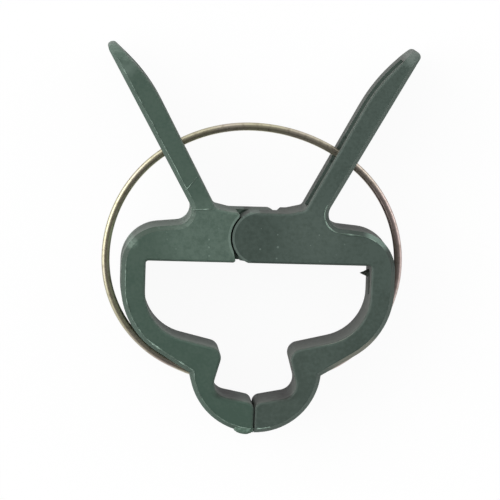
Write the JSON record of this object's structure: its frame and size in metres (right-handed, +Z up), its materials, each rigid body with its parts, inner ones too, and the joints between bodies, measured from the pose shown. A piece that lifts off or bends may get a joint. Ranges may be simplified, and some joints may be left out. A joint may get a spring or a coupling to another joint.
{
  "type": "orchid clip",
  "caption": "Spring clip that holds a plant stem to its stake: crossed plastic levers with flared handles and windowed jaws, pressed shut by an open ring of plated spring wire.",
  "frame": {"origin": "on the pivot axis of the levers, on the flat back that the clip rests on", "axes": "+Z up along the pivot and along a held stem, +Y from the jaws to the handles, +X to the right lever's side"},
  "size_m": [0.0478, 0.0592, 0.01],
  "materials": {
    "green_plastic": "moulded polypropylene, dark green, satin and lightly mottled",
    "plated_wire": "spring steel wire with a pale gold zinc plating"
  },
  "bodies": {
    "left_lever": {"left_lever": "green_plastic", "ring_spring": "plated_wire"},
    "right_lever": {"right_lever": "green_plastic"}
  },
  "joints": [
    {"name": "lever_pivot", "type": "hinge", "parent": "left_lever", "child": "right_lever", "pos_m": [0, 0, 0.005], "axis": [0, 0, 1], "range_deg": [0, 40], "stiffness_Nm_per_rad": 0.06, "springref_deg": -11.46, "deforming": ["ring_spring"]}
  ]
}
